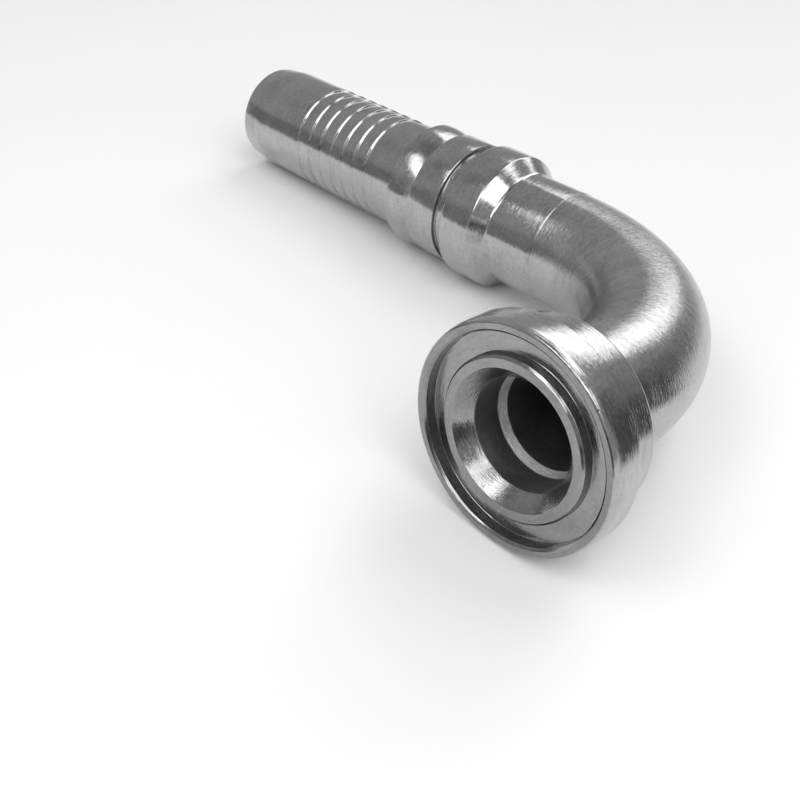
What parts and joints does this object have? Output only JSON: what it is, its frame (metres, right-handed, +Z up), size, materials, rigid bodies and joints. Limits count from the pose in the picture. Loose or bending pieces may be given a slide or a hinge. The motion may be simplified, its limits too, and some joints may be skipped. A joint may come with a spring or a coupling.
{
  "type": "hydraulic flange elbow fitting",
  "caption": "90 degree elbow with a round flange head and seal groove at one end and a collar, lock rings and a ribbed hose tail at the other.",
  "frame": {"origin": "middle of the footprint, on the floor that the fitting lies on", "axes": "+Z up from the floor; -X towards the tip of the hose tail; -Y towards the side the sealing face looks at. The fitting lies as it rests, on the head's back edge, the collar and the nose of the tail, so the flange axis rises 2.6 degrees towards the face and the tail falls 2.4 degrees towards its tip"},
  "size_m": [0.1708, 0.0874, 0.0447],
  "materials": {
    "steel": "bright turned steel, finely brushed along the bent tube"
  },
  "bodies": {
    "root": {"flange_fitting": "steel"}
  },
  "joints": []
}
